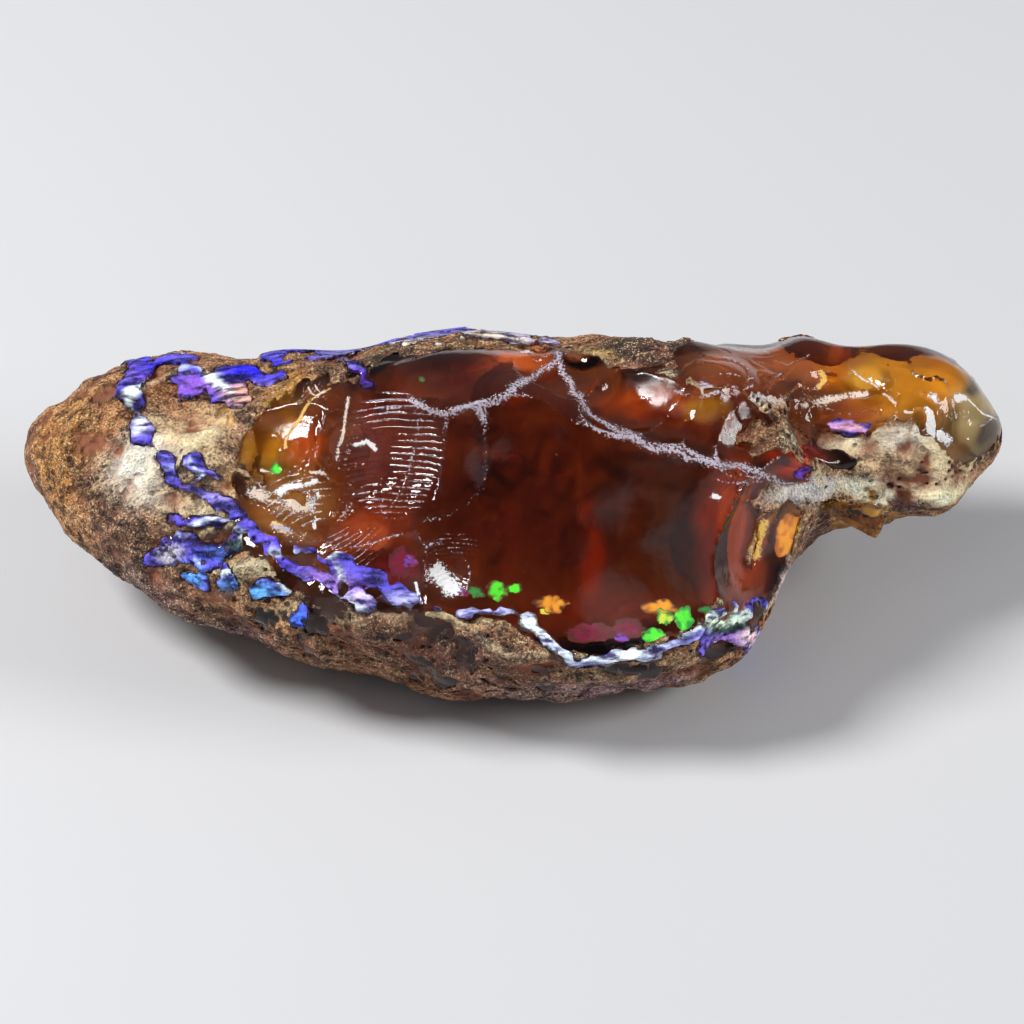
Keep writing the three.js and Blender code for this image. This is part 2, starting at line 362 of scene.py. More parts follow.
# ribbons of milky opal on the surface: the path, half the width
RIBBONS = (
    # royal blue, along the top
    (((-25, 17), (-23, 17), (-21, 16.5)), 0.55),
    (((-19, 16.5), (-17, 16.5), (-15.5, 16.5)), 0.4),
    (((-15.5, 18), (-13, 18), (-11, 18)), 0.4),
    # violet, towards the window
    (((-11, 16.5), (-10, 16), (-9, 15)), 0.4),
    (((-22, 15.5), (-20, 15.5), (-18, 15)), 0.75),
    # indigo, down the nose
    (((-24, 17), (-25, 15.5), (-25, 14.5), (-24.5, 13)), 0.75),
    # lavender blue, across the middle of the left half
    (((-23, 11), (-22, 10), (-22, 9.5)), 0.5),
    (((-20.5, 10.5), (-20, 9.5), (-19, 9)), 0.35),
    (((-21.5, 9), (-20, 8.5), (-19, 8), (-18.5, 7)), 0.5),
    # round the cavity
    (((-23.5, 4.5), (-22, 5), (-20.5, 4), (-18.5, 4.5), (-17, 5.5)), 0.6),
    (((-22, 6), (-20.5, 6.5), (-18.5, 6.5)), 0.3),
    # sky blue spots
    (((-21.5, 3), (-20.5, 2.5)), 0.45),
    (((-18.5, 3), (-17, 2), (-15.5, 1.5)), 0.65),
    (((-14, 0.5), (-14, 0)), 0.3),
    # violet, along the seam under the left of the window, and a second line over it
    (((-18, 6), (-15.5, 4.5), (-13.5, 3), (-11, 2), (-9.5, 1)), 0.55),
    (((-14, 5), (-11.5, 3.5), (-9.5, 2.5)), 0.22),
    # frosty blue, along the seam of the window
    (((-11, 3), (-8, 2), (-6.5, 1.5), (-4.5, 1), (-2.5, 1.2), (-0.5, 0.5), (1, 0),
      (2, -1), (3, -2), (5.5, -2.2), (9, -2), (11, -1.5), (12, 0), (14, 0.5),
      (15.5, 0.5), (16.5, 1)), 0.3),
    # pocket
    (((13, -1), (15, -1)), 0.9),
    # pale, along the far side
    (((-11, 18.5), (-7.5, 19), (-4, 19), (-1, 18.5), (2.5, 18.5)), 0.4),
    # bits in the neck
    (((19, 9.5), (19.5, 10)), 0.3),
    (((20.5, 13), (22, 12.5), (23.5, 13)), 0.2),
)
# veins of host rock in the opal: the path, half the width
VEINS = (
    (((-3.5, 0), (-0.5, -1), (1.5, -2)), 0.7),  # shelf under the window
    (((16, 8.5), (18, 8.2), (20.5, 8.6), (23.5, 8.5), (27.5, 8)), 0.7),  # across the neck
    (((16.5, 8), (16, 6), (15.5, 4.5)), 0.3),  # left of the golden facet
    (((19, 5), (18, 3.5), (17, 2), (16.5, 1)), 0.35),  # outer edge of the neck
    (((16.5, 11.5), (18, 12), (19, 12)), 0.7),  # dark pit
    (((15, 12.5), (15.5, 12.5)), 0.35),  # a spot left of it
    (((-17.5, 14.5), (-18, 13), (-18, 11), (-17.5, 9.5)), 0.6),  # left of the amber windows
    (((20.5, 11.5), (23, 11.5), (25.5, 12), (27.5, 11.5)), 0.9),  # up the side of the bulb
)
# how golden and how white a frosted line is; with neither it is silvery, and fully white lines are painted
# glare
SILVER = (0.0, 0.0)
CREAM = (0.55, 0.4)
GOLD = (1.0, 0.0)
WHITE_GLARE = (0.0, 1.0)
# frosted lines and lines of painted glare on the clear opal: the path, half the width, how golden and how
# white
FROST_AND_GLARE_LINES = (
    # golden arc between the amber windows and the scratches over it
    (((-14.9, 11.3), (-14.4, 12.6), (-13.8, 13.8), (-12.9, 14.8), (-11.9, 15.4)), 0.13, GOLD),
    (((-13.5, 15.3), (-12.8, 14.7)), 0.08, CREAM),
    (((-13.1, 15.5), (-12.5, 15)), 0.08, CREAM),
    # pale rims left of the amber windows, right of them and under them
    (((-16.5, 14.3), (-16.9, 13.2), (-17.1, 12)), 0.12, SILVER),
    (((-10.8, 14.6), (-10.9, 13.2), (-11.3, 11.8), (-11.6, 10.4)), 0.17, CREAM),
    (((-16.4, 10), (-15, 9.6), (-13, 9.9), (-11.4, 9.4)), 0.16, CREAM),
    (((-17, 8.6), (-15.6, 8), (-13.6, 7.6)), 0.7, CREAM),
    (((-15.6, 6.2), (-13.8, 5.6)), 0.35, GOLD),
    # hackles on the steps, and painted glare on them
    (((-15.2, 8.6), (-14.5, 8.9), (-13.8, 8.9)), 0.3, WHITE_GLARE),
    (((-13.5, 8.9), (-13, 9.2)), 0.24, WHITE_GLARE),
    (((-12.9, 8.3), (-12.7, 7.3), (-12.9, 6.2)), 0.24, WHITE_GLARE),
    (((-16.6, 7.4), (-15.6, 7), (-14.4, 7.1)), 0.09, SILVER),
    (((-15.8, 6.3), (-14.6, 6), (-13.4, 6.4)), 0.09, SILVER),
    (((-14.9, 5.3), (-13.6, 5.2), (-12.4, 5.4)), 0.08, SILVER),
    # painted glare on the rippled face and in the eye
    (((-10.4, 11.6), (-9.7, 11.9), (-9.2, 11.4)), 0.2, WHITE_GLARE),
    (((-4.9, 3.3), (-4.4, 2.9), (-3.9, 2.3)), 0.6, WHITE_GLARE),
    (((-6.4, 2.5), (-6.3, 1.9)), 0.12, WHITE_GLARE),
    # wavy line under the lobes, and scratches on them
    (((10.5, 15), (11.8, 14.7), (13.1, 15), (14.4, 15.1), (15.6, 15.5), (16.4, 15.1),
      (17.1, 14.5)), 0.22, SILVER),
    (((17.1, 14.5), (18.3, 14.3), (20.4, 14.4), (21.6, 14.9), (23, 14.9)), 0.28, CREAM),
    (((12, 15.9), (13.4, 16.2), (15.6, 16), (17.6, 16.3)), 0.08, SILVER),
    (((13.6, 17.3), (15, 16.9), (16.4, 17.1)), 0.07, SILVER),
    (((16.4, 17.6), (18, 16.9), (19.4, 17.3)), 0.07, SILVER),
    # yellow facets of the lobes
    (((20.1, 16.5), (20.3, 15.9), (20.1, 15.2)), 0.16, GOLD),
    (((21.8, 16.8), (22.9, 16), (24.4, 14.8), (25.7, 13.8), (27, 13.4)), 0.11, CREAM),
    # painted glare on the clear tip, a fine painted highlight along it, and a fine silvery line
    (((27.5, 14.4), (27.2, 13.4), (27.6, 12.4), (28.2, 11.9)), 0.5, WHITE_GLARE),
    (((29.1, 14.6), (29.5, 14.5)), 0.35, WHITE_GLARE),
    (((29.8, 14.4), (30.8, 13.6), (31.6, 13.2)), 0.08, WHITE_GLARE),
    (((30.3, 12.6), (31.2, 12.9), (31.9, 13.6)), 0.1, SILVER),
    # the neck: pale lines at the end of the ridge, golden facet
    (((15, 9.6), (16.4, 9.3), (18, 9.1), (20, 9.5)), 0.2, SILVER),
    (((13, 9.3), (14.6, 9), (16.2, 9.2)), 0.1, SILVER),
    (((16.4, 6.4), (16, 5.4), (15.6, 4.2)), 0.4, GOLD),
    # painted glints at the right end of the window
    (((13, 8.2), (13.3, 8.1)), 0.16, WHITE_GLARE),
    (((17.4, 8.4), (17.8, 8.5)), 0.2, WHITE_GLARE),
)
# where the frosted crest of the window runs: under the dome, and the long ridge
CRESTS = (
    ((-6.5, 14.5), (-5, 13.6), (-3, 13.9), (-1, 14.7), (1, 16), (3, 17)),
    ((2.8, 17.5), (3.6, 15.5), (5, 13.6), (7, 12.4), (9, 11.6), (11.5, 10.8), (15, 10.2),
     (18, 8.8)),
)
BARE_SPOTS = dropped(BARE, 6.0)
DEEP_SPOTS = dropped(DEEP, 8.0)
TERRACE = 0.3  # how deep the terraces step where they are strongest
# place and reach of what is broken in terraces
TERRACES = (
    ((-12.5, 8), (5, 4.5)),  # the left of the window
    ((17, 15.5), (5.5, 2.6)),  # the lobes
    ((26.5, 14.5), (4.5, 2.8)),  # the bulb
)
TERRACE_SPOTS = dropped(TERRACES)


def grain(points):
    """How far the rock's grainy surface stands back from the smooth one."""
    coarse = 0.2 * noise(points, 2.6, 30) + 0.24 * noise(points, 1.2, 31)
    return 0.18 + coarse + 0.2 * np.abs(noise(points, 0.6, 32)) + 0.08 * noise(points, 0.35, 33)


def rind_depth(points):
    """How deep the host rock reaches: more on the sides that face away."""
    behind = np.clip(0.6 - ((points - MIDDLE) @ OUT) / 8.0, 0.0, 1.0)
    depth = RIND + 0.2 * noise(points, 5.0, 3) + 0.15 * noise(points, 1.7, 5)
    depth = depth + 0.1 * noise(points, 0.8, 8) + BACK_RIND * behind
    depth = depth + 1.5 * np.maximum(0.0, ROCK_END + 1.5 * noise(points, 5.0, 21) - points[..., 0])
    for centre, reach, off in BARE_SPOTS:
        depth = depth - off * near(points, centre, reach)
    return depth - 60.0 * np.clip(0.1 - wedge_field(points), 0.0, 0.1)


def milk_field(points, stone):
    """The milky opal at the back of the clear opal: negative in it."""
    deep = np.full(points.shape[:-1], MILK_DEPTH)
    for centre, reach, depth in DEEP_SPOTS:
        share = np.minimum(1.5 * near(points, centre, reach), 1.0)
        share = share * share * (3.0 - 2.0 * share)
        deep = deep + share * (depth - deep)
    deep = deep * (1.0 + 0.2 * noise(points, 2.5, 17) + 0.08 * noise(points, 0.9, 18))
    return stone + deep


def path_field(points, paths, stone, deep):
    """Ribbons or veins along paths of the show face, down to some depth: negative in them."""
    places = across_up(points)
    field = np.full(points.shape[:-1], PATH_CARE)
    shown = ((points - MIDDLE) @ OUT > -5.0) & (stone > -2.0 * deep)
    for path, width in paths:
        low = np.min(path, axis=0) - PATH_CARE
        high = np.max(path, axis=0) + PATH_CARE
        close = shown & np.all((places > low) & (places < high), axis=-1)
        field[close] = np.minimum(field[close], path_distance(places[close], path) - width)
    return np.maximum(field, -stone - deep)


def terrace_ramps(points):
    """How strongly the clear opal is broken in terraces, and how far up its terrace a point is."""
    share = np.max([near(points, *spot) for spot in TERRACE_SPOTS], axis=0)
    level = 2.2 * noise(points, 3.4, 120) + 0.3 * noise(points, 1.2, 121)
    return share, level % 1.0


def terrace_edges(points):
    """1 on the edges of the terraces of the clear opal, falling to 0 next to them."""
    share, ramp = terrace_ramps(points)
    return share * np.exp(-((np.minimum(ramp, 1.0 - ramp) / 0.06) ** 2))


def layer_fields(points):
    """The rind, milk and clear fields: each is negative inside its own layer."""
    depth = skin_depth(points)
    stone = stone_field(points, depth)
    loose = wandered(wandered(points, 0.7, 2.2, 41), 0.35, 0.8, 44)
    frayed = 0.38 * noise(points, 1.7, 46) + 0.22 * noise(points, 0.9, 47)
    frayed = frayed + 0.18 * noise(points, 0.45, 48)
    vein = path_field(loose, VEINS, stone, VEIN_DEPTH) + frayed
    ribbon = path_field(loose, RIBBONS, stone, RIBBON_DEPTH) - frayed
    sole = points[..., 2] - 0.8 + 0.3 * noise(points, 2.0, 9)
    rocky = np.maximum(np.min([depth - rind_depth(points), vein, sole], axis=0), -ribbon)
    milk = np.minimum(milk_field(points, stone), ribbon)
    rind = np.maximum(stone + grain(points), rocky)
    milky = np.maximum(stone + 0.04, np.maximum(milk, -LAP - rocky))
    share, ramp = terrace_ramps(points)
    clear = np.maximum(stone + 0.08 + TERRACE * share * ramp, -LAP - np.minimum(rocky, milk))
    return np.array([rind, milky, clear])


def layer_field(number):
    """One of the layer fields by itself."""
    return lambda points: layer_fields(points)[number]


# ---- From fields to meshes ----

SHARP_ANGLE = math.radians(40)
GRID_MARGIN = 0.5
LOW = np.floor(2 * CAD_LOW) / 2 - GRID_MARGIN
HIGH = np.ceil(2 * CAD_HIGH) / 2 + GRID_MARGIN
CORNERS = list(product((0, 1), repeat=3))


def sampled_layers():
    """The rind, milk and clear fields on one grid."""
    axes = [np.arange(LOW[a], HIGH[a], CELL) for a in range(3)]
    layers = np.ones((3, *(len(axis) for axis in axes)), np.float32)
    for i, x in enumerate(axes[0]):
        slab = np.stack(np.meshgrid([x], axes[1], axes[2], indexing="ij"), -1)[0]
        depth = skin_depth(slab)
        close = (depth > -1.0) | (wedge_field(slab) < 1.0)
        layers[:, i][:, close] = layer_fields(slab[close])
    return layers


def net_corners(value, cell):
    """One corner for each crossed grid cell, in the middle of where its edges are crossed."""
    at = np.array([value[tuple((cell + corner).T)] for corner in CORNERS])
    places = np.zeros((len(cell), 3))
    hits = np.zeros(len(cell))
    for first, second in product(range(8), repeat=2):
        step = np.subtract(CORNERS[second], CORNERS[first])
        if step.min() < 0 or step.sum() != 1:
            continue
        cut = (at[first] < 0) != (at[second] < 0)
        share = np.where(cut, at[first] / np.where(cut, at[first] - at[second], 1.0), 0.0)
        places += cut[:, None] * (np.array(CORNERS[first]) + share[:, None] * step)
        hits += cut
    return LOW + CELL * (cell + places / hits[:, None])


def surface_net(value):
    """A closed mesh of four-sided faces where the sampled field is zero."""
    inside = value < 0
    size = np.array(inside.shape) - 1
    views = [inside[a:a + size[0], b:b + size[1], c:c + size[2]] for a, b, c in CORNERS]
    amount = np.sum(views, axis=0)
    crossed = (amount > 0) & (amount < 8)
    index = np.full(crossed.shape, -1)
    index[crossed] = np.arange(crossed.sum())
    faces = []
    for axis in range(3):
        along, side, other = np.roll(np.eye(3, dtype=int), -axis, axis=0)
        here = inside[: size[0] + 1 - along[0], : size[1] + 1 - along[1], : size[2] + 1 - along[2]]
        ahead = inside[along[0]:, along[1]:, along[2]:]
        edge = np.argwhere(here != ahead)
        edge = edge[np.all((edge >= side + other) & (edge < size), axis=1)]
        ring = (edge - side - other, edge - other, edge, edge - side)
        quad = np.stack([index[tuple(corner.T)] for corner in ring], axis=1)
        entering = ~here[tuple(edge.T)]
        quad[entering] = quad[entering][:, ::-1]
        faces.append(quad)
    return net_corners(value, np.argwhere(crossed)), np.concatenate(faces)


def moved_onto(field, points, step=0.01):
    """The points moved along the field's slope to where it is zero."""
    value = field(points)
    slope = np.stack([field(points + step * one) - value for one in np.eye(3)], -1) / step
    steep = np.maximum(np.sum(slope * slope, axis=-1), 0.2)
    shift = -(value / steep)[:, None] * slope
    length = np.linalg.norm(shift, axis=-1, keepdims=True)
    return points + shift * np.minimum(1.0, 0.8 * CELL / np.maximum(length, 1e-9))


def settled(vertices, faces, field, rounds=2):
    """The corners spaced evenly and moved onto the exact surface."""
    edges = np.concatenate([faces[:, [0, 1]], faces[:, [1, 2]], faces[:, [2, 3]], faces[:, [3, 0]]])
    start, end = np.concatenate([edges, edges[:, ::-1]]).T
    count = np.bincount(start, minlength=len(vertices))[:, None]
    for _ in range(rounds):
        around = [np.bincount(start, vertices[end, a], len(vertices)) for a in range(3)]
        vertices = vertices + 0.5 * (np.stack(around, -1) / count - vertices)
        vertices = moved_onto(field, vertices)
    return vertices


def set_numbers(piece, name, numbers):
    """Keep one number for each corner under a name that a material can read."""
    attribute = piece.data.attributes.new(name, "FLOAT", "POINT")
    attribute.data.foreach_set("value", np.asarray(numbers, np.float32))


def set_colours(piece, name, colours):
    """Keep one colour for each corner under a name that a material can read."""
    attribute = piece.data.attributes.new(name, "FLOAT_COLOR", "POINT")
    opaque = np.column_stack([np.clip(colours, 0.0, 1.0), np.ones(len(colours))])
    attribute.data.foreach_set("color", opaque.astype(np.float32).ravel())


def add_mesh(name, vertices, faces):
    """A Blender object from corners in millimetres and faces with equally many sides."""
    mesh = bpy.data.meshes.new(name)
    mesh.vertices.add(len(vertices))
    mesh.vertices.foreach_set("co", (vertices * MM).ravel())
    mesh.loops.add(faces.size)
    mesh.loops.foreach_set("vertex_index", faces.ravel())
    mesh.polygons.add(len(faces))
    mesh.polygons.foreach_set("loop_start", np.arange(0, faces.size, faces.shape[1]))
    mesh.update(calc_edges=True)
    mesh.shade_smooth()
    mesh.set_sharp_from_angle(angle=SHARP_ANGLE)
    piece = bpy.data.objects.new(name, mesh)
    bpy.context.scene.collection.objects.link(piece)
    return piece


# ---- Fine ripples that the breaks left in the clear opal ----

# place and reach of what is hazy
HAZES = (
    ((8.6, 7.6), (3.6, 2.6)),  # right half of the window
    ((-5, 15.6), (3, 2)),  # the dome
    ((-14.6, 12.2), (1.4, 1.6)),  # between the amber windows
    ((9.2, 15.3), (2, 1.6)),  # the troughs behind the ridge
    ((14.5, 13.1), (1.6, 2.2)),
)
RIPPLE_HEIGHT = 0.06  # how far a ripple stands out
FINE_CUTS = 3  # how many times a face of the rippled opal is cut each way
# middle of the rings, middle of the rippled place, its reach, from ring to ring
RIPPLES = (
    ((-8, 0), (-8, 11), (3.5, 4.5), 0.42),  # the long fan left of the window
    ((-14, 10), (-10, 5), (2.5, 1.5), 0.36),  # under it
    ((-4, 1), (-4, 4), (2.4, 2), 0.34),  # the eye
    ((-12, 3.5), (-14, 8), (2.5, 1.8), 0.5),  # steps at the left
    ((-19, 19), (-13, 15), (1.1, 0.9), 0.24),  # scratches over the amber
)


def rippled_place(points, place, reach):
    """1 well inside a rippled place of the show face and 0 outside it."""
    offset = (across_up(points) - place) / np.array(reach)
    inside = np.clip(4.0 * (1.0 - np.sum(offset**2, axis=-1)), 0.0, 1.0)
    return inside * ((points - MIDDLE) @ OUT > 0) * (stone_field(points) > -0.3)


def ripple_share(points):
    """1 on the crest of a ripple and 0 between them."""
    most = np.zeros(len(points))
    for number, (middle, place, reach, spacing) in enumerate(RIPPLES):
        ring = np.linalg.norm(across_up(points) - middle, axis=-1) / spacing
        ring = ring + 0.7 * noise(points, 2.6, 90 + number)
        crest = np.exp(-((((ring % 1.0) - 0.5) / 0.13) ** 2))
        patchy = np.clip(1.0 + 1.3 * noise(points, 2.4, 100 + number), 0.0, 1.0)
        most = np.maximum(most, crest * patchy * rippled_place(points, place, reach))
    return most


def rippled_field(points):
    """The clear field with the ripples standing out from it."""
    return layer_field(2)(points) - RIPPLE_HEIGHT * ripple_share(points)


def corner_places(piece):
    """Where the corners of a piece are, in millimetres."""
    places = np.empty(len(piece.data.vertices) * 3, np.float32)
    piece.data.vertices.foreach_get("co", places)
    return places.reshape(-1, 3).astype(float) / MM


def finely_marked(points):
    """Which points of the clear opal lie in a rippled place, by a frosted line or a line of painted glare,
    or by a terrace.
    """
    shown = ((points - MIDDLE) @ OUT > -4.0) & (stone_field(points) > -0.6)
    rippled = [rippled_place(points, place, reach) for _, place, reach, _ in RIPPLES]
    places = across_up(points)
    by_line = [path_distance(places, path) < width + 0.5 for path, width, _ in FROST_AND_GLARE_LINES]
    crest = [path_distance(places, path) < 1.2 for path in CRESTS]
    terraced = terrace_edges(points) > 0.05
    return np.max([*rippled, *by_line, *crest, terraced], axis=0).astype(bool) & shown


def add_ripples(piece):
    """Cut the faces of the finely marked places finer, and move their corners onto the ripples."""
    net = bmesh.new()
    net.from_mesh(piece.data)
    middles = np.array([face.calc_center_median() for face in net.faces]) / MM
    edges = {edge for face, fine in zip(net.faces, finely_marked(middles)) if fine for edge in face.edges}
    bmesh.ops.subdivide_edges(net, edges=list(edges), cuts=FINE_CUTS, use_grid_fill=True)
    net.to_mesh(piece.data)
    net.free()
    places = corner_places(piece)
    rippled = np.max([rippled_place(places, place, reach) for _, place, reach, _ in RIPPLES], axis=0) > 0
    for _ in range(2):
        places[rippled] = moved_onto(rippled_field, places[rippled])
    piece.data.vertices.foreach_set("co", (places * MM).ravel())
    piece.data.update()


# ---- Colours, as light reflected in red, green and blue ----

# place, reach, colour
ROCK_PATCHES = (
    # the nose: sienna rim, darker top (painted shade), brown with pores, cream sand in the middle (partly
    # its own colour, partly a painted highlight), lilac brown lowest (painted shade)
    ((-30, 12), (3.5, 7), (0.36, 0.16, 0.04)),
    ((-26.5, 17), (4.5, 2.5), (0.08, 0.035, 0.016)),
    ((-26, 5.5), (5.5, 3.5), (0.16, 0.08, 0.05)),
    ((-24, 10.5), (3.3, 2.6), (1, 0.95, 0.82)),
    ((-20.5, 12.5), (3, 1.7), (0.9, 0.7, 0.42)),
    ((-18, 11.5), (1, 2.2), (0.7, 0.42, 0.26)),
    ((-23, 15.5), (1.5, 0.7), (0.3, 0.11, 0.025)),
    ((-24, 1.5), (8, 2.5), (0.11, 0.06, 0.065)),
    # sand between the blue ribbons
    ((-20.5, 9.5), (3, 2.2), (0.66, 0.54, 0.34)),
    ((-19.5, 6.5), (2.5, 1.4), (0.52, 0.42, 0.27)),
    ((-17, 3.5), (2, 0.8), (0.64, 0.54, 0.34)),
    # over and under the window: dark rock over it (painted shade), pale shelves under it, and darker lilac
    # rock lowest (painted shade)
    ((-8, 17), (5, 1.6), (0.085, 0.055, 0.035)),
    ((-4, 0.5), (4, 0.9), (0.62, 0.48, 0.28)),
    ((-13, 0.5), (3, 0.8), (0.42, 0.33, 0.2)),
    ((7.5, -3), (6, 0.8), (0.32, 0.21, 0.12)),
    ((-5.5, -2), (8.5, 2), (0.14, 0.06, 0.05)),
    ((7, -4.5), (10, 1.1), (0.22, 0.13, 0.16)),
    ((-17.5, -1), (6, 1.4), (0.16, 0.07, 0.08)),
    # behind the ridge: the darkest rock, along the top, is painted shade
    ((9.5, 18), (6, 1.7), (0.04, 0.022, 0.018)),
    ((5, 17.2), (1.1, 0.7), (0.45, 0.28, 0.09)),
    ((7.5, 15.6), (2.8, 0.6), (0.6, 0.6, 0.4)),
    ((12, 17.2), (1.2, 0.5), (0.84, 0.6, 0.12)),
    ((13, 15.6), (1, 0.7), (0.36, 0.28, 0.46)),
    ((15, 15), (3, 0.6), (0.8, 0.72, 0.74)),
    # a pit painted near-black: painted shade
    ((18, 12), (1.4, 0.9), (0.06, 0.03, 0.02)),
    # the neck and the bulb, with painted shade under them
    ((21, 14.5), (2.5, 0.6), (0.84, 0.74, 0.42)),
    ((20.5, 12), (0.9, 0.7), (0.95, 0.86, 0.6)),
    ((23.5, 10.5), (2.5, 1.3), (0.46, 0.32, 0.2)),
    ((28.5, 10), (3, 2.2), (0.92, 0.76, 0.48)),
    ((23.5, 12), (2.5, 0.8), (0.86, 0.76, 0.52)),
    ((26, 12), (1.4, 0.9), (0.95, 0.9, 0.76)),
    ((19, 8.5), (2.8, 0.8), (0.84, 0.82, 0.8)),
    ((23.5, 8.5), (2.5, 0.7), (1, 0.98, 0.76)),
    ((28.5, 8.5), (2.8, 0.9), (0.98, 0.86, 0.56)),
    # lilac brown under the bulb: painted shade
    ((25.5, 7.5), (2, 0.5), (0.16, 0.09, 0.13)),
    ((16, 6), (0.7, 1.6), (0.9, 0.76, 0.4)),
    ((17.5, 3), (1.6, 1.6), (0.62, 0.54, 0.6)),
    # purple brown under the neck: painted shade
    ((20, 6), (1.4, 1.2), (0.13, 0.055, 0.07)),
)
MILK_PATCHES = (
    # pale lilac, along the far side
    ((-3, 18.5), (7.5, 2.5), (0.42, 0.34, 0.42)),
    # indigo and royal blue, down the nose and along the top
    ((-25, 14), (0.9, 1.6), (0.01, 0.006, 0.08)),
    ((-24.5, 16.5), (0.9, 0.8), (0.1, 0.04, 0.6)),
    ((-24.5, 13), (0.7, 0.5), (0.42, 0.4, 0.8)),
    ((-23, 17), (1.8, 0.6), (0.03, 0.015, 0.66)),
    ((-17, 16.5), (1.8, 0.6), (0.012, 0.008, 0.85)),
    ((-13, 18), (2.2, 0.6), (0.02, 0.02, 0.5)),
    ((-20, 15.5), (2.4, 0.6), (0.12, 0.04, 0.42)),
    ((-18, 15), (1, 0.6), (0.4, 0.2, 0.24)),
    ((-10, 15.5), (1.6, 0.8), (0.06, 0.015, 0.3)),
    # lavender blue
    ((-22.5, 10), (1.4, 1.2), (0.1, 0.08, 0.66)),
    ((-19.5, 8.5), (1.6, 1.2), (0.2, 0.16, 0.72)),
    # the cavity
    ((-19.5, 5.5), (1.7, 0.8), (0.03, 0.012, 0.08)),
    ((-19, 4.4), (1.4, 0.5), (0.02, 0.06, 0.45)),
    ((-18, 5), (0.7, 0.5), (0.01, 0.04, 0.025)),
    ((-22.5, 4.5), (1, 0.7), (0.3, 0.26, 0.46)),
    # sky blue
    ((-21, 3), (1, 0.8), (0.08, 0.26, 0.95)),
    ((-17, 2), (2.4, 1), (0.1, 0.3, 0.98)),
    ((-14, 0.3), (0.8, 0.9), (0.04, 0.1, 0.8)),
    # violet seam
    ((-15.5, 4.5), (2.2, 1.1), (0.07, 0.035, 0.56)),
    ((-12, 2.5), (2.2, 1.1), (0.16, 0.08, 0.46)),
    ((-10, 1.4), (1.2, 0.8), (0.4, 0.3, 0.8)),
    # seam of the window: pale
    ((-4.5, 1), (4, 1), (0.34, 0.32, 0.9)),
    ((1, -0.5), (2.5, 1.6), (0.62, 0.66, 0.95)),
    ((6, -2), (5, 0.8), (0.5, 0.52, 0.92)),
    ((13.5, 0.2), (4, 0.6), (0.66, 0.78, 0.8)),
    # pocket
    ((14, -1.4), (1.8, 0.9), (0.22, 0.11, 0.56)),
    ((15.5, -1), (0.9, 0.7), (0.6, 0.4, 0.66)),
    ((14, -0.3), (1.8, 0.4), (0.01, 0.04, 0.04)),
    # neck and wedge
    ((19, 9.8), (0.7, 0.5), (0.08, 0.015, 0.32)),
    ((22, 12.8), (1.7, 0.4), (0.4, 0.18, 0.4)),
    ((23, 7), (2.8, 1.6), (0.7, 0.36, 0.08)),
)
WALL_PATCHES = (
    # the window: maroon, browner at the right (partly its own colour, partly a painted sheen), a red
    # streak, redder along the lower edge
    ((3, 8), (13, 8), (0.1, 0.006, 0.02)),
    ((9.5, 6.5), (5.6, 6.2), (0.09, 0.028, 0.014)),
    ((5, 4), (0.7, 3.4), (0.36, 0.045, 0.012)),
    ((-1, 12), (3.3, 1.6), (0.1, 0.008, 0.03)),
    ((5.5, 0), (10, 1.5), (0.24, 0.035, 0.014)),
    # the amber windows and the steps under them
    ((-16, 13), (3, 4), (0.85, 0.45, 0.03)),
    ((-14.5, 10), (2, 0.8), (0.3, 0.16, 0.03)),
    ((-12.5, 12), (2, 3), (0.28, 0.07, 0.015)),
    ((-13.5, 11.5), (1.1, 1.2), (0.8, 0.15, 0.02)),
    ((-14.5, 7.5), (2.6, 1.8), (0.52, 0.28, 0.12)),
    # the rippled face and under it
    ((-8, 11.5), (3.3, 4.6), (0.2, 0.025, 0.03)),
    ((-9.5, 5.5), (2.6, 2), (0.46, 0.07, 0.01)),
    ((-7.5, 3.5), (1.6, 1.1), (0.34, 0.02, 0.12)),
    # the dome: red, mottled orange at the right, purple at the left
    ((-2, 16), (5.1, 2.6), (0.11, 0.007, 0.012)),
    ((0.6, 16.7), (2.6, 1.4), (0.8, 0.16, 0.015)),
    ((4.3, 17.7), (1.3, 0.9), (0.3, 0.1, 0.04)),
    ((-5.5, 16), (2, 1.3), (0.08, 0.01, 0.02)),
    # behind the ridge
    ((11.5, 13.5), (6.6, 2.4), (0.2, 0.03, 0.014)),
    ((9, 14), (3.6, 1.3), (0.5, 0.085, 0.008)),
    ((12.5, 13.8), (1.4, 0.8), (0.85, 0.5, 0.05)),
    ((11.5, 11.7), (2.2, 0.9), (0.14, 0.018, 0.015)),
    # the lobes, the red slot, the golden facet of the neck and the band left of it
    ((17, 17), (6, 1.8), (0.6, 0.22, 0.15)),
    ((21, 16), (1.4, 0.8), (1, 0.38, 0.04)),
    ((18, 10.3), (1.7, 0.9), (1, 0.1, 0.03)),
    ((18, 6), (1.4, 1.9), (1, 0.6, 0.04)),
    ((14.5, 5.5), (1.9, 4.8), (0.52, 0.065, 0.006)),
    # the bulb: yellow facet, red lens, amber cap, clear tip with a dark painted reflection in it; the
    # wedge under it
    ((23.5, 15.5), (1.6, 1.2), (1, 0.72, 0.08)),
    ((22.5, 13.7), (2, 0.9), (0.6, 0.2, 0.1)),
    ((25.5, 15.5), (4, 2.4), (0.88, 0.43, 0.03)),
    ((30.2, 13.6), (1.8, 2.8), (0.68, 0.58, 0.38)),
    # dark spot in the clear tip: a painted reflection
    ((30.6, 12.4), (0.8, 1), (0.1, 0.09, 0.1)),
    ((28.5, 13), (0.5, 1.2), (0.2, 0.14, 0.06)),
    ((29.5, 15), (0.7, 0.5), (0.12, 0.11, 0.12)),
    ((23, 7), (2.5, 1.3), (1, 0.56, 0.12)),
)
ROCK_GROUND = (0.27, 0.13, 0.06)
ROCK_DARK = (0.10, 0.04, 0.03)
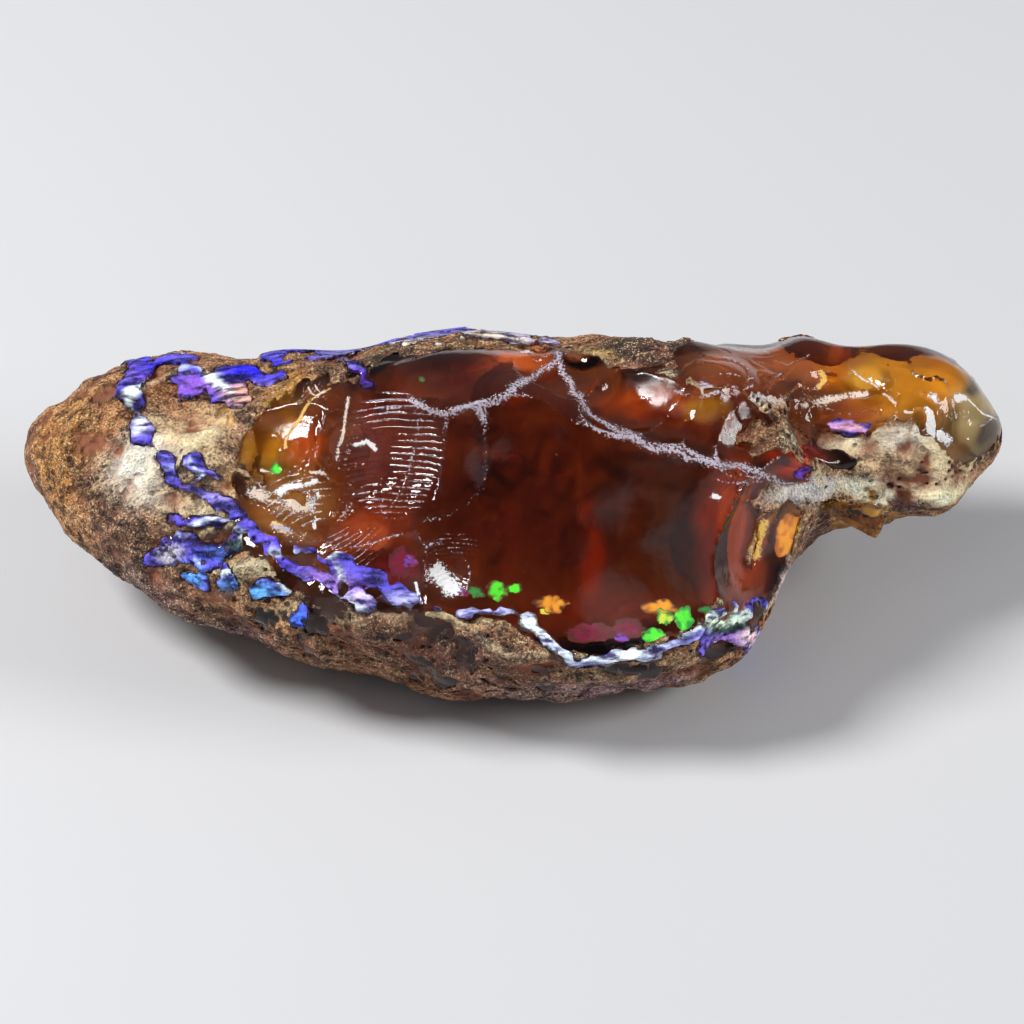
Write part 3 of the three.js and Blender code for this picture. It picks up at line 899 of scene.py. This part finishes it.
ROCK_EDGE = (0.70, 0.62, 0.44)
MILK_GROUND = (0.06, 0.04, 0.50)
MILK_EDGE = (0.66, 0.72, 0.92)
WALL_GROUND = (0.24, 0.075, 0.035)
FROST_SILVER = (0.60, 0.52, 0.64)
FROST_GOLD = (1.0, 0.62, 0.12)
# white of cream frosting and of the painted glare
FROST_AND_GLARE_WHITE = (0.95, 0.95, 0.95)


def mixed(first, second, share):
    """Colours between two others, by a share from 0 to 1 at each point."""
    return first + np.clip(share, 0.0, 1.0)[..., None] * (np.asarray(second, float) - first)


def painted(points, ground, patches, deep=3.0):
    """A ground colour with soft patches of other colours laid over it in turn."""
    colour = np.tile(np.array(ground), (len(points), 1))
    for centre, reach, paint in dropped(patches, deep):
        colour = mixed(colour, paint, 1.6 * near(points, centre, reach) - 0.15)
    return colour


def edge_distance(points):
    """How far a point on the surface is from the nearest edge of a break."""
    skin_slope = unit(points * (0.0, 1.0, 1.0) - (0.0, 2.0, 9.5))
    fields, slopes = zip((-skin_depth(points), skin_slope), *inside_balls(points))
    fields = np.array(fields)
    slopes = np.array(slopes)
    every = np.arange(len(points))
    order = np.argsort(fields, axis=0)
    first, second = order[-1], order[-2]
    turn = np.linalg.norm(slopes[first, every] - slopes[second, every], axis=-1)
    return (fields[first, every] - fields[second, every]) / np.maximum(turn, 0.12)


def wall_share(points):
    """1 on the inner walls, which are only seen through clear opal, and 0 on the outside."""
    return np.clip((-stone_field(points) - 0.2) / 0.3, 0.0, 1.0)


def wall_colours(points):
    """Soft warm colours for the inner walls, with darker streaks that are partly banding and partly a
    painted streaky sheen.
    """
    wall = painted(wandered(points, 0.5, 1.4, 70), WALL_GROUND, WALL_PATCHES, 10.0)
    # darker streaks: partly banding in the opal, partly a painted streaky sheen
    streaks = noise(points @ SHOW_FACE.T * (1.0, 0.3, 0.6), 1.8, 75)
    return mixed(wall, 0.5 * wall, 0.7 * streaks)


def rock_colours(points):
    """The host rock's colours: paler along the edges of the breaks, warm on the inner walls."""
    loose = wandered(points, 0.7, 2.2, 50)
    colour = painted(loose, ROCK_GROUND, ROCK_PATCHES)
    colour = mixed(colour, ROCK_DARK, 1.3 * noise(points, 3.1, 61) - 0.15)
    colour = colour * (1.0 + 0.5 * noise(points, 1.3, 63))[:, None]
    pale = 0.8 - edge_distance(points) / 0.3 + 0.9 * noise(points, 1.5, 62)
    colour = mixed(colour, ROCK_EDGE, 0.6 * np.clip(pale, 0.0, 1.0))
    return mixed(colour, wall_colours(points), wall_share(points))


def milk_colours(points):
    """The milky opal's colours: paler along the edges of the breaks, warm on the inner walls."""
    loose = wandered(points, 0.5, 1.4, 70)
    outside = painted(loose, MILK_GROUND, MILK_PATCHES)
    pale = 0.8 - edge_distance(points) / 0.3 + 0.9 * noise(points, 0.9, 72)
    outside = mixed(outside, MILK_EDGE, 0.7 * np.clip(pale, 0.0, 1.0))
    return mixed(outside, wall_colours(points), wall_share(points))


def frost_and_glare_share(points):
    """How frosted the clear opal is: along edges, along the crest of the window, and in lines, some of
    which are painted glare.
    """
    places = across_up(wandered(points, 0.25, 1.2, 83))
    crest = np.min([path_distance(places, path) for path in CRESTS], axis=0)
    above = list(inside_balls(points))[WINDOW][0]
    on_crest = np.exp(-((crest / 1.5) ** 2) - (above / 0.8) ** 2)
    on_edge = np.exp(-((edge_distance(points) / (0.12 + 0.35 * on_crest)) ** 2))
    frost_and_glare = on_edge * np.clip(0.3 + 0.35 * on_crest + 0.4 * noise(points, 1.4, 80), 0.0, 0.75)
    frost_and_glare = np.maximum(frost_and_glare, 0.68 * np.exp(-((crest / 0.36) ** 2)))
    frost_and_glare = np.maximum(frost_and_glare, 0.7 * terrace_edges(points) * (noise(points, 1.1, 82) > -0.1))
    # the fully white lines among these are painted glare
    for path, width, looks in FROST_AND_GLARE_LINES:
        line = np.exp(-((path_distance(places, path) / width) ** 2))
        patchy = np.clip(0.8 + 0.5 * looks[1] + 0.6 * noise(points, 1.0, 81), 0.0, 1.0)
        frost_and_glare = np.maximum(frost_and_glare, line * patchy * (0.66 + 0.44 * max(looks)))
    open_air = (stone_field(points) > -0.2) & ((points - MIDDLE) @ OUT > -4.0)
    return frost_and_glare * open_air


def frost_looks(points):
    """How golden and how white the frosting and the painted glare are: as on the line near by, or silvery.
    """
    places = across_up(points)
    looks = np.tile(np.array(SILVER), (len(points), 1))
    for path, width, line_looks in FROST_AND_GLARE_LINES:
        close = 2.5 - path_distance(places, path) / width
        looks = mixed(looks, line_looks, close)
    return looks.T


# ---- Materials ----

def new_material(name):
    """A material with its Principled shader and its output."""
    material = bpy.data.materials.new(name)
    material.use_nodes = True
    nodes = material.node_tree.nodes
    return material, nodes["Principled BSDF"], nodes["Material Output"]


class Nodes:
    """Short ways to add nodes to one material; lengths are in millimetres."""

    def __init__(self, material):
        self.tree = material.node_tree
        self.place = self.add("ShaderNodeTexCoord").outputs["Object"]

    def add(self, kind, **settings):
        node = self.tree.nodes.new(kind)
        for name, value in settings.items():
            setattr(node, name, value)
        return node

    def link(self, value, socket):
        if isinstance(value, bpy.types.NodeSocket):
            self.tree.links.new(value, socket)
        else:
            socket.default_value = value

    def attribute(self, name, output="Fac"):
        return self.add("ShaderNodeAttribute", attribute_name=name).outputs[output]

    def stretched(self, scale):
        node = self.add("ShaderNodeMapping")
        node.inputs["Scale"].default_value = scale
        self.link(self.place, node.inputs["Vector"])
        return node.outputs["Vector"]

    def noise(self, size, detail=4.0, place=None):
        node = self.add("ShaderNodeTexNoise")
        self.link(place or self.place, node.inputs["Vector"])
        node.inputs["Scale"].default_value = 1.0 / (size * MM)
        node.inputs["Detail"].default_value = detail
        return node.outputs["Fac"]

    def cells(self, size, feature="F1", output="Distance"):
        node = self.add("ShaderNodeTexVoronoi", feature=feature)
        self.link(self.place, node.inputs["Vector"])
        node.inputs["Scale"].default_value = 1.0 / (size * MM)
        return node.outputs[output]

    def math(self, operation, first, second=0.0):
        node = self.add("ShaderNodeMath", operation=operation)
        self.link(first, node.inputs[0])
        self.link(second, node.inputs[1])
        return node.outputs[0]

    def ramp(self, value, low, high, to_low=0.0, to_high=1.0):
        """Values from low to high spread over another range, and kept inside it."""
        node = self.add("ShaderNodeMapRange", interpolation_type="SMOOTHSTEP")
        ends = {"From Min": low, "From Max": high, "To Min": to_low, "To Max": to_high}
        for name, number in ends.items():
            node.inputs[name].default_value = number
        self.link(value, node.inputs["Value"])
        return node.outputs["Result"]

    def mix(self, share, first, second, blend="MIX"):
        node = self.add("ShaderNodeMix", data_type="RGBA", blend_type=blend)
        self.link(share, node.inputs["Factor"])
        for socket, value in (("A", first), ("B", second)):
            colour = (*value, 1.0) if isinstance(value, tuple) else value
            self.link(colour, next(s for s in node.inputs if s.name == socket and s.type == "RGBA"))
        return next(s for s in node.outputs if s.type == "RGBA")

    def bump(self, height, far, strength=1.0):
        node = self.add("ShaderNodeBump")
        node.inputs["Strength"].default_value = strength
        node.inputs["Distance"].default_value = far * MM
        self.link(height, node.inputs["Height"])
        return node.outputs["Normal"]


def rock_material():
    """Brown granular host rock: sand grains, golden grains painted bright as partly painted glints, pores
    painted near-black as painted shade; smooth on the inner walls.
    """
    material, shader, _ = new_material("host_rind")
    n = Nodes(material)
    outside = n.math("SUBTRACT", 1.0, n.attribute("wall"))
    colour = n.attribute("tint", "Color")
    pale = n.add("ShaderNodeRGBToBW")
    n.link(colour, pale.inputs["Color"])
    rough = n.math("MULTIPLY", outside, n.ramp(pale.outputs["Val"], 0.3, 0.6, 1.0, 0.3))
    grains = n.noise(0.2, 5.0)
    lumps = n.noise(0.8, 6.0, n.stretched((0.6, 1.2, 1.2)))
    shades = n.mix(n.ramp(n.math("ADD", grains, lumps), 0.8, 1.2), (0.22, 0.17, 0.18), (2.0, 1.9, 1.7))
    colour = n.mix(rough, colour, n.mix(1.0, colour, shades, "MULTIPLY"))
    # golden grains, painted bright and glossy: partly their own colour, partly painted glints
    golden_grain_glints = n.math("MAXIMUM", n.ramp(n.noise(0.13, 2.0), 0.58, 0.64), n.ramp(n.noise(0.24, 2.0), 0.6, 0.66))
    golden_grain_glints = n.math("MULTIPLY", golden_grain_glints, n.ramp(lumps, 0.42, 0.6, 0.15, 1.0))
    golden_grain_glints = n.math("MULTIPLY", golden_grain_glints, outside)
    colour = n.mix(n.math("MULTIPLY", golden_grain_glints, 0.85), colour, (1.0, 0.78, 0.44))
    # pores, dented by the bump and painted near-black as painted shade
    pores = n.math("MULTIPLY", n.ramp(n.cells(0.95), 0.25, 0.17), n.ramp(n.noise(2.4, 2.0), 0.5, 0.6))
    pores = n.math("MULTIPLY", pores, outside)
    colour = n.mix(n.math("MULTIPLY", pores, 0.9), colour, (0.03, 0.013, 0.008))
    n.link(colour, shader.inputs["Base Color"])
    n.link(n.math("SUBTRACT", 0.75, n.math("MULTIPLY", golden_grain_glints, 0.5)), shader.inputs["Roughness"])
    shader.inputs["Specular IOR Level"].default_value = 0.4
    height = n.math("ADD", n.math("ADD", grains, lumps), n.math("MULTIPLY", n.noise(0.12, 3.0), 0.6))
    height = n.math("MULTIPLY", n.math("SUBTRACT", height, pores), outside)
    n.link(n.bump(height, 0.4), shader.inputs["Normal"])
    return material


def milk_material():
    """Glossy milky opal, blue to violet outside and warm inside."""
    material, shader, _ = new_material("milky_opal")
    n = Nodes(material)
    colour = n.attribute("tint", "Color")
    streaks = n.noise(0.7, 5.0, n.stretched((0.5, 1.4, 1.4)))
    shades = n.mix(n.ramp(streaks, 0.36, 0.64), (0.08, 0.05, 0.16), (2.4, 2.6, 1.7))
    outside = n.math("SUBTRACT", 1.0, n.attribute("wall"))
    colour = n.mix(outside, colour, n.mix(1.0, colour, shades, "MULTIPLY"))
    n.link(colour, shader.inputs["Base Color"])
    gloss = n.ramp(n.noise(0.5, 3.0), 0.4, 0.65, 0.45, 0.1)
    n.link(n.math("SUBTRACT", 0.7, n.math("MULTIPLY", outside, gloss)), shader.inputs["Roughness"])
    shader.inputs["Specular IOR Level"].default_value = 0.35
    n.link(n.bump(n.math("MULTIPLY", outside, n.noise(0.4, 5.0)), 0.3), shader.inputs["Normal"])
    return material


def clear_opal_material():
    """Clear red-amber opal, frosted along the edges of its breaks, and whitened in lines of painted glare.
    """
    material, shader, output = new_material("clear_opal")
    n = Nodes(material)
    # this share carries the frosting, the lines of painted glare, and the whitened ripple crests, which
    # are partly painted glints
    frost_and_glare = n.attribute("frost_and_glare")
    grit = n.noise(0.16, 3.0)
    frosted = n.ramp(n.math("ADD", frost_and_glare, n.math("MULTIPLY", grit, 1.7)), 1.25, 1.6)
    streaks = n.noise(1.6, 4.0, n.stretched((0.16, 1, 1)))
    haze = n.math("MULTIPLY", n.attribute("haze"), n.ramp(streaks, 0.35, 0.65, 0.2, 1.0))
    frost_and_glare_colour = n.mix(n.attribute("golden"), FROST_SILVER, FROST_GOLD)
    # the white share is for cream frosting and for the painted glare
    frost_and_glare_colour = n.mix(n.attribute("white"), frost_and_glare_colour, FROST_AND_GLARE_WHITE)
    n.link(n.mix(frosted, (1.0, 1.0, 1.0), frost_and_glare_colour), shader.inputs["Base Color"])
    n.link(n.math("SUBTRACT", 1.0, n.math("MULTIPLY", frosted, 0.8)), shader.inputs["Transmission Weight"])
    roughness = n.math("ADD", 0.02, n.math("MULTIPLY", frosted, 0.3))
    n.link(n.math("ADD", roughness, n.math("MULTIPLY", haze, 0.35)), shader.inputs["Roughness"])
    shader.inputs["IOR"].default_value = 1.4
    height = n.math("ADD", n.math("MULTIPLY", grit, frosted), n.math("MULTIPLY", n.noise(1.1, 3.0), 0.5))
    n.link(n.bump(height, 0.12), shader.inputs["Normal"])
    absorption = n.add("ShaderNodeVolumeAbsorption")
    absorption.inputs["Color"].default_value = (0.94, 0.71, 0.13, 1.0)
    absorption.inputs["Density"].default_value = 330.0
    n.link(absorption.outputs["Volume"], output.inputs["Volume"])
    return material


def colour_flash_material():
    """Opal in one pure colour, with a painted glow that stands in for the brightness of its play of
    colour.
    """
    material, shader, _ = new_material("colour_flash")
    n = Nodes(material)
    colour = n.attribute("tint", "Color")
    n.link(colour, shader.inputs["Base Color"])
    n.link(colour, shader.inputs["Emission Color"])
    # painted glow: the flakes give off light in their own colour
    shader.inputs["Emission Strength"].default_value = 0.45
    shader.inputs["Roughness"].default_value = 0.35
    return material


def floor_material():
    """Plain and pale."""
    material, shader, _ = new_material("floor")
    shader.inputs["Base Color"].default_value = (0.58, 0.58, 0.59, 1.0)
    shader.inputs["Roughness"].default_value = 0.6
    return material


# ---- Camera, floor and light ----

VIEW_WIDTH = 2 * HALF_LENGTH + 3.0  # how much of the scene the frame takes in at the stone
DISTANCE = 1500.0  # from the camera to the stone
TARGET = -0.13 * ACROSS + 7.2 * UP  # what the camera looks at
SENSOR = 36.0
FLOOR_HALF = 1.2  # half the width of the floor, in metres
# name, place, how wide, power in watts
LAMPS = (
    ("main_lamp", (-260, 0, 300), 130, 1.8),
    ("fill_lamp", (330, -60, 190), 160, 0.95),
)
WORLD_STRENGTH = 0.11
# direction, how wide in degrees, how strong
GLOWS = (
    ((-0.29, -0.46, 0.84), 22, 0.75),
    ((-0.75, -0.6, 0.3), 50, 0.25),
    ((0.1, 0.8, 0.6), 45, 0.12),
    ((0.9, 0.1, 0.35), 45, 0.22),
)


def add_camera():
    data = bpy.data.cameras.new("camera")
    data.sensor_width = SENSOR
    data.lens = SENSOR * DISTANCE / VIEW_WIDTH
    data.clip_start = 0.01
    camera = bpy.data.objects.new("camera", data)
    bpy.context.scene.collection.objects.link(camera)
    camera.location = (TARGET + OUT * DISTANCE) * MM
    camera.rotation_euler = (math.pi / 2 - TILT, 0.0, 0.0)
    bpy.context.scene.camera = camera


def add_floor():
    corners = np.array([(-1, -1, 0), (1, -1, 0), (1, 1, 0), (-1, 1, 0)]) * FLOOR_HALF
    floor = add_mesh("floor", corners / MM, np.array([[0, 1, 2, 3]]))
    floor.data.materials.append(floor_material())


def add_lamp(name, place, size, power):
    """A soft round lamp that shines at the stone."""
    data = bpy.data.lights.new(name, "AREA")
    data.shape = "DISK"
    data.size = size * MM
    data.energy = power
    lamp = bpy.data.objects.new(name, data)
    bpy.context.scene.collection.objects.link(lamp)
    lamp.location = Vector(place) * MM
    lamp.rotation_euler = (Vector(place) - Vector(TARGET)).to_track_quat("Z", "Y").to_euler()


def add_world():
    """Soft studio light from all round, with wide glows that fade out at their edges."""
    world = bpy.data.worlds.new("studio")
    world.use_nodes = True
    n = Nodes(world)
    way = n.add("ShaderNodeTexCoord").outputs["Generated"]
    strength = WORLD_STRENGTH
    for towards, wide, strong in GLOWS:
        dot = n.add("ShaderNodeVectorMath", operation="DOT_PRODUCT")
        n.link(way, dot.inputs[0])
        dot.inputs[1].default_value = unit(towards)
        glow = n.ramp(dot.outputs["Value"], math.cos(math.radians(wide)), 1.0, 0.0, strong)
        strength = n.math("ADD", glow, strength)
    background = world.node_tree.nodes["Background"]
    background.inputs["Color"].default_value = (0.86, 0.91, 1.0, 1.0)
    n.link(strength, background.inputs["Strength"])
    bpy.context.scene.world = world


# ---- Pieces ----

def add_piece(name, vertices, faces, material, slot):
    """A piece of the stone, in place of the CAD model's one node."""
    piece = add_mesh(name, vertices, faces)
    piece.data.materials.append(material)
    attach(piece, "root")
    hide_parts("opal_nodule")
    return piece


# ---- Flakes of colour ----

FLASH_TURNS = 40  # corners round a flake
FLASH_RINGS = 7  # rings of corners from its middle to its rim
FLASH_DEPTH = 0.5  # how deep under the surface it lies
FLASH_THICKNESS = 0.06
GREEN = (0.1, 0.95, 0.05)
DARK_GREEN = (0.03, 0.3, 0.06)
PALE_GREEN = (0.4, 0.85, 0.45)
YELLOW_GREEN = (0.65, 0.85, 0.1)
ORANGE = (1.0, 0.42, 0.04)
WINE = (0.2, 0.01, 0.05)
VIOLET = (0.22, 0.08, 0.62)
GOLDEN = (0.85, 0.36, 0.02)
EMBER = (0.42, 0.10, 0.01)
FADED = (0.09, 0.02, 0.015)
# place, reach, colour in the middle, colour at the rim
FLASHES = (
    # at the lower left of the window
    ((-2.5, 2), (0.6, 0.4), DARK_GREEN, FADED),
    ((-1, 2), (0.7, 0.7), GREEN, FADED),
    ((0, 2.2), (0.6, 0.35), GREEN, FADED),
    # along its lower edge
    ((2.5, 1.2), (1.3, 0.6), ORANGE, FADED),
    ((2, 0.7), (0.4, 0.2), YELLOW_GREEN, ORANGE),
    ((9.5, 1), (1.2, 0.5), ORANGE, FADED),
    ((9.8, 0.3), (0.6, 0.6), YELLOW_GREEN, DARK_GREEN),
    ((11, 0.2), (0.6, 0.7), GREEN, DARK_GREEN),
    ((9.2, -1), (0.8, 0.6), GREEN, DARK_GREEN),
    ((11, -1.2), (0.7, 0.35), PALE_GREEN, FADED),
    ((5, -0.7), (1.6, 0.7), WINE, FADED),
    ((7.5, -0.4), (1.1, 0.7), WINE, FADED),
    ((7, -1), (0.5, 0.35), VIOLET, WINE),
    ((12.5, 0.8), (0.5, 0.35), DARK_GREEN, FADED),
    # in the amber, on the dome, under the rippled face and in the eye
    ((-15.5, 10), (0.35, 0.35), GREEN, DARK_GREEN),
    ((-6, 15.8), (0.25, 0.2), DARK_GREEN, FADED),
    ((-7.5, 4), (0.7, 1.1), WINE, FADED),
    ((-6.8, 4), (0.5, 0.4), VIOLET, WINE),
    ((-3.5, 2), (0.55, 0.4), VIOLET, WINE),
    # the golden facet of the neck, with a painted glow for light coming through the stone
    ((17.8, 5.6), (0.8, 1.4), GOLDEN, EMBER),
)


def flash_mesh(place, reach, number):
    """One thin closed flake with a ragged outline: its corners, faces and how near the rim."""
    ring, turn = np.mgrid[1:FLASH_RINGS + 1, 0:FLASH_TURNS]
    angle = (2 * math.pi * turn / FLASH_TURNS).ravel()
    share = (ring / FLASH_RINGS).ravel()
    way = np.column_stack([np.cos(angle), np.sin(angle)])
    ragged = 1.0 + 0.3 * noise(np.column_stack([1.6 * way, share]), 1.0, number)
    ragged = ragged + 0.2 * noise(np.column_stack([5.0 * way, share]), 1.0, number)
    spots = np.vstack([[0.0, 0.0], way * (share * ragged)[:, None]]) * reach + place
    front = on_face(spots) - FLASH_DEPTH * OUT
    share = np.append(0.0, share)
    back = front - FLASH_THICKNESS * (1.0 - share**2)[:, None] * OUT
    inner = len(front) - FLASH_TURNS
    faces = []
    for spoke in range(FLASH_TURNS):
        after = (spoke + 1) % FLASH_TURNS
        faces.append((0, 1 + spoke, 1 + after))
        for start in range(1, inner, FLASH_TURNS):
            near_a, near_b = start + spoke, start + after
            far_a, far_b = near_a + FLASH_TURNS, near_b + FLASH_TURNS
            faces += [(near_a, far_a, far_b), (near_a, far_b, near_b)]
    faces = np.array(faces)
    behind = np.where(faces < inner, faces + len(front), faces)[:, ::-1]
    return np.vstack([front, back[:inner]]), np.vstack([faces, behind]), np.append(share, share[:inner])


def add_flashes():
    """The flashes of colour as thin flakes just under the clear surface."""
    corners, faces, colours, count = [], [], [], 0
    for number, (place, reach, middle, rim) in enumerate(FLASHES):
        points, triangles, share = flash_mesh(place, reach, number)
        patchy = 1.4 * share**2 - 0.2 + 0.9 * noise(points, 0.3, number)
        corners.append(points)
        faces.append(triangles + count)
        colours.append(mixed(np.tile(np.array(middle), (len(points), 1)), rim, patchy))
        count += len(points)
    material = colour_flash_material()
    piece = add_piece("colour_flashes", np.vstack(corners), np.vstack(faces), material, "colour_flash")
    set_colours(piece, "tint", np.vstack(colours))


# ---- The stone ----

def add_stone():
    """The three layers as closed meshes, with what their materials read at each corner."""
    meshes = []
    for number, value in enumerate(sampled_layers()):
        vertices, faces = surface_net(value)
        meshes.append((settled(vertices, faces, layer_field(number)), faces))
    rock, milk, clear = meshes
    piece = add_piece("host_rind", *rock, rock_material(), "host_rind")
    set_colours(piece, "tint", rock_colours(rock[0]))
    set_numbers(piece, "wall", wall_share(rock[0]))
    piece = add_piece("milky_opal", *milk, milk_material(), "milky_opal")
    set_colours(piece, "tint", milk_colours(milk[0]))
    set_numbers(piece, "wall", wall_share(milk[0]))
    piece = add_piece("clear_opal", *clear, clear_opal_material(), "opal_glass")
    add_ripples(piece)
    points = corner_places(piece)
    # the ripple crests are whitened like frosting, partly as painted glints
    set_numbers(piece, "frost_and_glare", np.maximum(frost_and_glare_share(points), 0.9 * ripple_share(points)))
    # the white share also marks the lines of painted glare
    golden, white = frost_looks(points)
    set_numbers(piece, "golden", golden)
    set_numbers(piece, "white", white)
    hazes = [near(points, on_face(place), (*reach, 3.0)) for place, reach in HAZES]
    set_numbers(piece, "haze", np.max(hazes, axis=0))


bpy.context.scene.view_settings.view_transform = "Standard"
add_camera()
add_floor()
for lamp in LAMPS:
    add_lamp(*lamp)
add_world()
add_stone()
add_flashes()
